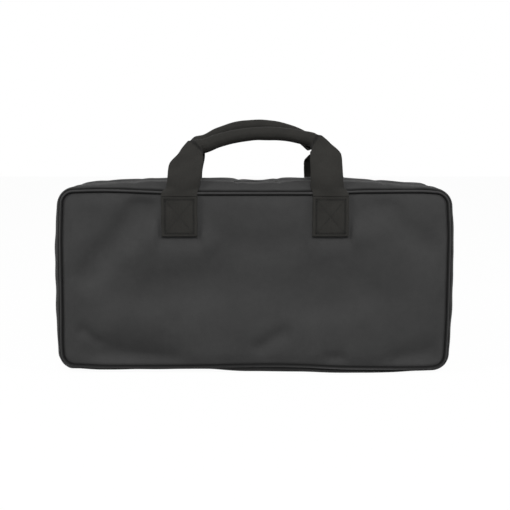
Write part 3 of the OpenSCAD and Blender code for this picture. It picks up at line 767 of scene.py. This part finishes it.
coil_turns = int((zip_s[-1] - zip_s[0]) / COIL_PITCH)
coil_t = np.linspace(0, coil_turns, coil_turns * COIL_STEPS + 1)
tape_y = np.array([0.8, 0.75, 1.0, 5, 10, 14.5, 14.75, 14.5, 10, 5, 1.0])
tape_rho = MID_RHO - np.array([1.6, 1.8, 1.4, 1.4, 1.4, 1.4, 1.8, 2.2, 2.2, 2.2, 2.2])
tab_y = np.array([0.25, 0.4, 2, 4.5, 7, 8.3, 8.6, 8.4, 7, 4.5, 2, 0.4])
tab_rho = MID_RHO + np.array([1.5, 2.2, 2.45, 2.3, 1.7, 1.0, 0.6, 0.4, 1.0, 1.3, 1.35, 1.2])
for side, word in SIDES:
    points = settle(carry(zip_s, side * tape_y[None], tape_rho[None]))
    tape = skin(f"{word}_zip_tape_band", [tape_cloth], points, strip_uv(zip_s, tape_y, tape_rho))
    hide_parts(f"{word}_zip_tape")
    opens(tape, side)

    turn = 2 * np.pi * coil_t
    flat_turn = np.sign(np.cos(turn)) * np.abs(np.cos(turn)) ** 0.7
    wire, up = on_outline(zip_s[0] + COIL_PITCH * (coil_t + 0.25 * side),
                          side * (COIL_Y + COIL_HALF_W * flat_turn),
                          MID_RHO - COIL_SINK + COIL_HALF_T * np.sin(turn))
    way = unit(np.gradient(wire, axis=0))
    wide = unit(np.cross(way, up))
    points = settle(tube(wire, wide, np.cross(wide, way), COIL_WIRE_R, COIL_FACETS))
    coil = skin(f"{word}_zip_coil_wire", [coil_nylon], points,
                grid_uv(lengths(wire), np.linspace(0, 2 * np.pi * COIL_WIRE_R, COIL_FACETS + 1)))
    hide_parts(f"{word}_zip_coil")
    opens(coil, side)

    seam_s = np.arange(zip_s[0], zip_s[-1] - 3, SEW_PITCH)
    start, middle, end = (on_outline(seam_s + shift, side * SEW_Y, SEW_RHO)
                          for shift in (SEW_GAP, SEW_PITCH / 2, SEW_PITCH - SEW_GAP))
    row = stitches(f"{word}_zip_stitch_row", settle(start[0]), settle(end[0]), middle[1], THREAD_R)
    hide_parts(f"{word}_zip_stitching")
    opens(row, side)

    for number, s0 in ((1, JOIN + 1.0), (2, MARKS[-1] - JOIN - 1.0 - TAB_LONG)):
        tab_s = np.linspace(s0, s0 + TAB_LONG, 12)
        press = np.minimum(smooth((tab_s - s0) / TAB_PRESS), smooth((s0 + TAB_LONG - tab_s) / TAB_PRESS))
        points = settle(carry(tab_s, side * tab_y[None], tab_rho[None] - 0.5 * (1 - press[:, None])))
        tab = skin(f"{word}_zip_end_tab_{number}", [cover_cloth], points, strip_uv(tab_s, tab_y, tab_rho))
        opens(tab, side)
    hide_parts(f"{word}_zip_ends")


# The handles' sewn ends: 50 mm webbing, turned under and sewn flat on each panel with a box of
# stitches and a cross. The cloth puckers a little along the stitches.
WEB_W, WEB_T = 49.0, 2.0
HALF_WEB = WEB_W / 2
PATCH_T, PATCH_GAP = 4.3, 0.05
BOX_W, BOX_H, BOX_Z = 19.5, 23.0, (PATCH_LO + PATCH_HI) / 2
BOX_PITCH, BOX_FILL = 3.3, 0.84
BOX_DENT, CROSS_DENT, DENT_WIDTH = 0.35, 0.1, 1.2
HANDLE_SHIFT = {"rear": -3.0, "front": 0.0}
webbing, ink, shader = dyed("rib_webbing")
u, v = thread_axes(ink)
chevron = ink.math("PINGPONG", u, 0.0021)
twill = wave(v + chevron * 0.9, 0.0016)
rib = wave(u, 0.0042)
fuzz = cloud(ink, 700.0, 2.0)
worn = cloud(ink, 45.0)
tone(ink, shader, (0.013, 0.0126, 0.0116), (0.030, 0.0291, 0.0267),
     twill * 0.16 + fuzz * 0.35 + worn * 0.7 - 0.05)
(0.66 + worn * 0.16 - twill * 0.05).into(shader.inputs["Roughness"])
bump(ink, shader, twill * 0.5 + rib * 0.25 + fuzz * 0.4, 0.00015)
shader.inputs["Sheen Weight"].default_value = 0.02
shader.inputs["Specular IOR Level"].default_value = 0.06

# Across the patch: its face, its two rounded edges and its under side. Up it: a hem at each end.
face_points = 45
patch_w = np.concatenate([np.linspace(-24.2, 24.2, face_points), [HALF_WEB, HALF_WEB, 24.2],
                          np.linspace(23, -23, 9), [-24.2, -HALF_WEB, -HALF_WEB]])
patch_lift = np.concatenate([np.full(face_points, PATCH_T), [3.7, 0.6, 0.1],
                             np.full(9, PATCH_GAP), [0.1, 0.6, 3.7]])
patch_z = np.concatenate([[190.9, PATCH_LO, 191.4], np.linspace(192.2, 244.2, 48), [244.9, 245.1]])
hem = np.concatenate([[0.35, 0.75, 0.95], np.ones(48), [0.97, 0.92]])
on_face = (np.arange(len(patch_w)) < face_points)[None]
patch_uv = strip_uv(patch_z, patch_w, patch_lift)[..., ::-1]


def stitch_dent(w, z):
    """How far the stitching draws the webbing in: a narrow groove along the box and the cross."""
    aside, above = np.broadcast_arrays(np.abs(w), np.abs(z - BOX_Z))
    past_side, past_end = aside > BOX_W + 1, above > BOX_H + 1
    far = 30
    box = np.minimum(np.abs(aside - BOX_W) + far * past_end, np.abs(above - BOX_H) + far * past_side)
    cross = np.abs(aside * BOX_H - above * BOX_W) / np.hypot(BOX_H, BOX_W) + far * (past_side | past_end)
    return BOX_DENT * np.exp(-(box / DENT_WIDTH) ** 2) + CROSS_DENT * np.exp(-(cross / DENT_WIDTH) ** 2)


def box_rows(middle):
    """Both ends (x, z, x, z) of each stitch of one box and its cross: a line from corner to corner is cut
    into whole stitches, and each leaves a short gap before the next."""
    corner = np.array([(-1, -1), (1, -1), (1, 1), (-1, 1)]) * [BOX_W, BOX_H] + [middle, BOX_Z]
    rows = []
    for a, b in ((0, 1), (1, 2), (2, 3), (3, 0), (0, 2), (1, 3)):
        line = corner[b] - corner[a]
        count = int(np.hypot(*line) / BOX_PITCH)
        starts = corner[a] + line * (np.arange(count) / count)[:, None]
        rows.append(np.concatenate([starts, starts + line / count * BOX_FILL], -1))
    return np.concatenate(rows)


for side, word in SIDES:
    patches, rows = [], []
    for leg, hand in ((-1, "left"), (1, "right")):
        middle = HANDLE_SHIFT[word] + leg * PATCH_X
        dent = on_face * stitch_dent(patch_w[None], patch_z[:, None])
        uneven = on_face * 0.18 * ripple(patch_w[None] + middle, patch_z[:, None], 26, 51)
        lift = PATCH_GAP + (patch_lift[None] - PATCH_GAP) * hem[:, None] - dent + uneven
        edge_wave = 0.35 * ripple(patch_z[:, None], 0 * patch_w[None], 34, 52 + leg + side)
        x = middle + patch_w[None] + edge_wave * np.sign(patch_w)[None]
        points = np.stack(np.broadcast_arrays(x, side * (SEAM_Y + lift), patch_z[:, None]), -1)
        # The stitch grooves of the box and the cross get painted shade, darkest along the box.
        patch = skin(f"{word}_handle_end_{hand}", [webbing], points, patch_uv, painted_shade=1.5 * dent)
        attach(patch, f"{word}_shell")
        patches.append(patch)
        rows.append(box_rows(middle))
    x0, z0, x1, z1 = np.concatenate(rows).T
    y = np.full(len(x0), side * (SEAM_Y + PATCH_T - BOX_DENT))
    sewn = stitches(f"{word}_box_stitches", np.stack([x0, y, z0], -1), np.stack([x1, y, z1], -1),
                    np.tile([0.0, side, 0.0], (len(x0), 1)), THREAD_R)
    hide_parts(f"{word}_handle_ends")
    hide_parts(f"{word}_end_stitching")
    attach(sewn, f"{word}_shell")


# The handles: one length of webbing each, which stands up from its sewn ends, folds in to a point at
# the top of each leg and is wrapped round a soft rod for the grip, with its edges sewn together below.
STRAP_Y, HINGE_Z = 73.8, PATCH_HI
LEG_UP, LEAN_R = 13.5, 30.0
LEAN = {"rear": np.radians(34), "front": np.radians(43)}
GRIP_R, GRIP_POINTS, GRIP_WIDEST = 8.4, 9, 9.2
ROD_R, ROD_FACETS = 6.5, 18
FOLD_R, FLATTEST = 1.5, 24.48
SLIT_BACK, SLIT_PITCH, SLIT_THREAD_R = 9.0, 4, 0.5
SLIT_WIDE, SLIT_SLANT = 2.6, 1.2
# Each station of a leg is a place on the leaning sheet (along, up), the angle across the webbing there,
# its half width and how the width is lost: 0 by rolling the webbing round, 1 by folding its edges flat
# behind it. A grip is an arch: its highest point, its radius, where it ends and how far its ends open.
# Both handles were set against the photograph.
FRONT_LEFT = [
    (-102.5, 0.3, 0, 24.5, 0), (-102, 6, 0, 24.3, 0), (-98, 13, 0, 22.5, 0), (-94, 50, 0, 22, 1),
    (-88, 66, -12, 17, 1), (-83, 79, -48, 15.5, 1), (-80, 89, -52, 11, 0),
]
FRONT_RIGHT = [
    (86, 88, -122, 15, 1), (90, 80, -148, 16, 1), (97, 64, -172, 21, 1),
    (98, 13, -180, 22.5, 0), (102, 6, -180, 24.3, 0), (102.5, 0.3, -180, 24.5, 0),
]
FRONT_GRIP = {"crown": (16, 113.5), "arch": 175, "ends": (-70, 82), "flare": 0.8}
REAR_LEFT = [
    (-102.5, 0.3, 0, 24.5, 0), (-98, 38, 0, 23, 0.4), (-94, 50, 0, 21, 1),
    (-87, 64, -16, 16, 1), (-83, 72, -35, 14, 1), (-78, 87, -50, 11, 0),
]
REAR_RIGHT = [
    (94, 78, -124, 11, 1), (98, 62, -165, 17, 1), (99, 52, -175, 22, 1),
    (100, 38, -180, 24, 0.4), (102.5, 0.3, -180, 24.5, 0),
]
REAR_GRIP = {"crown": (7, 115.5), "arch": 120, "ends": (-66, 85), "flare": 2.0}


def strap_stations(left, right, crown, arch, ends, flare):
    """Stations of a whole handle: the left leg's, those of a circular arch of radius arch that is highest
    at crown, between the two ends of the grip and turned square to the arch, and the right leg's.
    The wrap is GRIP_R wide to each side and opens by flare at its ends."""
    along = np.linspace(*ends, GRIP_POINTS)
    aside = along - crown[0]
    up = crown[1] - arch + np.sqrt(arch ** 2 - aside ** 2)
    turn = -90 - np.degrees(np.arcsin(aside / arch))
    half = GRIP_R + flare * np.linspace(-1, 1, GRIP_POINTS) ** 6
    grip = np.stack([along, up, turn, half, np.zeros(GRIP_POINTS)], -1)
    return np.concatenate([left, grip, right])


def sheet_at(v, lean):
    """The leaning sheet at length v up from the fold: depth, height, and its upward and outward
    directions. It is upright for LEG_UP, turns on LEAN_R to the lean and goes on straight."""
    turn = np.clip((v - LEG_UP) / LEAN_R, 0, lean)
    straight = np.maximum(v - LEG_UP - LEAN_R * lean, 0)
    y = STRAP_Y - LEAN_R * (1 - np.cos(turn)) - straight * np.sin(lean)
    z = HINGE_Z + np.minimum(v, LEG_UP) + LEAN_R * np.sin(turn) + straight * np.cos(lean)
    nil = 0 * turn
    up = np.stack([nil, -np.sin(turn), np.cos(turn)], -1)
    return y, z, up, np.stack([nil, np.cos(turn), np.sin(turn)], -1)


def strap_rings(stations, lean, count):
    """Rings along the strap, evenly spaced on a smooth line through its stations, where a turn of 45
    degrees takes as long as 8 mm: middle, across, out, half width, share folded, and place on the line."""
    knots = lengths(stations[:, :2]) + 8 * np.abs(stations[:, 2] - stations[0, 2]) / 45
    t = np.linspace(0, knots[-1], count)
    u, v, angle, half, folded = curve(t, knots, stations).T
    y, z, up, out = sheet_at(v, lean)
    angle = np.radians(angle)
    across = np.cos(angle)[:, None] * np.array([1.0, 0, 0]) + np.sin(angle)[:, None] * up
    return np.stack([u, y, z], -1), across, out, half, folded, t


# web_a runs across the webbing and back, -1 to 1, and web_out is its thickness there, thin at the edges.
# bend_w is half the width that the webbing shows when it is rolled on the radius bend_r.
web_points = 57
web_a = np.concatenate([np.linspace(-1, 1, web_points), np.linspace(1, -1, web_points)])
web_out = np.repeat([1.0, -1.0], web_points) * (1 - 0.75 * np.abs(web_a) ** 40)
bend_r = np.geomspace(7.0, 4000, 4000)
bend_w = np.where(HALF_WEB / bend_r < np.pi / 2, bend_r * np.sin(HALF_WEB / bend_r), bend_r)


def web_section(half, folded):
    """Where the points web_a across the webbing lie in a ring: sideways, back, and the angle their face has
    turned. Rolled is an arc whose chord is the width seen; folded is flat with its edges turned back."""
    s = HALF_WEB * web_a[None]
    radius = np.interp(np.clip(half, bend_w[0], FLATTEST), bend_w, bend_r)[:, None]
    a = s / radius
    rolled = np.stack([radius * np.sin(a), radius * (1 - np.cos(a)), a])
    half = half[:, None]
    turn_r = FOLD_R * smooth((HALF_WEB - half) / 3) + 1e-3
    flat = np.minimum(half - turn_r, HALF_WEB)
    over = np.maximum(np.abs(s) - flat, 0)
    b = np.minimum(over / turn_r, np.pi)
    sideways = np.minimum(np.abs(s), flat) + turn_r * np.sin(b) - np.maximum(over - np.pi * turn_r, 0)
    turned = np.stack([np.sign(s) * sideways, turn_r * (1 - np.cos(b)), np.sign(s) * b])
    return rolled + folded[None, :, None] * (turned - rolled)


grip_rod, ink, shader = dyed("grip_rod")
speck = cloud(ink, 250.0)
tone(ink, shader, grey(0.03), grey(0.06), speck)
(0.55 + speck * 0.2).into(shader.inputs["Roughness"])
bump(ink, shader, speck, 0.0001)

rear_stations = strap_stations(REAR_LEFT, REAR_RIGHT, **REAR_GRIP)
front_stations = strap_stations(FRONT_LEFT, FRONT_RIGHT, **FRONT_GRIP)
for (side, word), stations in zip(SIDES, (rear_stations, front_stations)):
    flip = np.array([1, side, 1])
    shift = [HANDLE_SHIFT[word], 0, 0]
    middle, across, out, half, folded, t = strap_rings(stations, LEAN[word], 300)
    aside, back, a = web_section(half, folded)
    normal = np.cos(a)[..., None] * out[:, None] + np.sin(a)[..., None] * across[:, None]
    uneven = 1 + 0.05 * ripple(t[:, None], HALF_WEB * web_a[None], 30, 61 + side)
    thick = 0.5 * WEB_T * web_out[None] * uneven
    clear_of_ends = smooth((t - 12) / 20) * smooth((t[-1] - t - 12) / 20)
    soft = 0.25 * ripple(t[:, None], HALF_WEB * np.abs(web_a)[None], 45, 63 + side) * clear_of_ends[:, None]
    points = (middle[:, None] + aside[..., None] * across[:, None] - back[..., None] * out[:, None]
              + (thick + soft)[..., None] * normal)
    run = lengths(middle)
    web_uv = grid_uv(run, np.append(HALF_WEB * web_a + HALF_WEB, 0))[..., ::-1]
    # Painted shade where the legs narrow and the webbing turns from rolled to folded behind itself.
    fold_shade = 2.8 * folded * (1 - folded) * (half < 16)
    strap = skin(f"{word}_handle_webbing", [webbing], (points + shift) * flip, web_uv, painted_shade=fold_shade[:, None])
    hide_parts(f"{word}_handle_strap")
    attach(strap, f"{word}_handle")

    grip = np.flatnonzero((half < GRIP_WIDEST) & (folded < 0.05))
    across, out, run = across[grip], out[grip], run[grip]
    centre = middle[grip] - GRIP_R * out
    core = skin(f"{word}_grip_rod", [grip_rod], (tube(centre, across, out, ROD_R, ROD_FACETS) + shift) * flip,
                grid_uv(run, np.linspace(0, 2 * np.pi * ROD_R, ROD_FACETS + 1)))
    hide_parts(f"{word}_handle_core")
    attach(core, f"{word}_handle")

    slit = (centre - SLIT_BACK * out + shift) * flip
    pick = np.linspace(2, len(grip) - 3, int((run[-1] - run[0]) / SLIT_PITCH)).astype(int)
    half_stitch = SLIT_WIDE * across[pick] * flip + SLIT_SLANT * unit(slit[pick + 1] - slit[pick])
    zigzag = stitches(f"{word}_grip_seam_stitches", slit[pick] - half_stitch, slit[pick] + half_stitch,
                      -out[pick] * flip, SLIT_THREAD_R)
    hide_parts(f"{word}_grip_thread")
    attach(zigzag, f"{word}_handle")


# The sliders and their pulls: die-cast zinc, painted black and rubbed bright along the edges. The
# shapes are the model's own, with their edges broken.
slider_paint, ink, shader = dyed("black_slider_paint")
edge = ink.node("ShaderNodeNewGeometry", out="Pointiness")
chip = cloud(ink, 420.0, 5.0)
rubbed = ink.node("ShaderNodeMapRange", {}, {0: edge + chip * 0.12, 1: 0.60, 2: 0.66, 3: 0.0, 4: 1.0})
tone(ink, shader, (0.020, 0.020, 0.021), (0.30, 0.30, 0.31), rubbed * 0.7 + chip * 0.04)
(rubbed * 0.8).into(shader.inputs["Metallic"])
(0.36 + chip * 0.14).into(shader.inputs["Roughness"])
bump(ink, shader, chip, 0.00004)
for word in ("left_slider", "left_pull", "right_slider", "right_pull"):
    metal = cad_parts[word]
    metal.data.materials.clear()
    metal.data.materials.append(slider_paint)
    weld = metal.modifiers.new("weld", "WELD")
    weld.merge_threshold = 0.00002
    broken = metal.modifiers.new("broken_edges", "BEVEL")
    broken.width, broken.segments = 0.0004, 3
    broken.limit_method, broken.angle_limit = "ANGLE", np.radians(40)
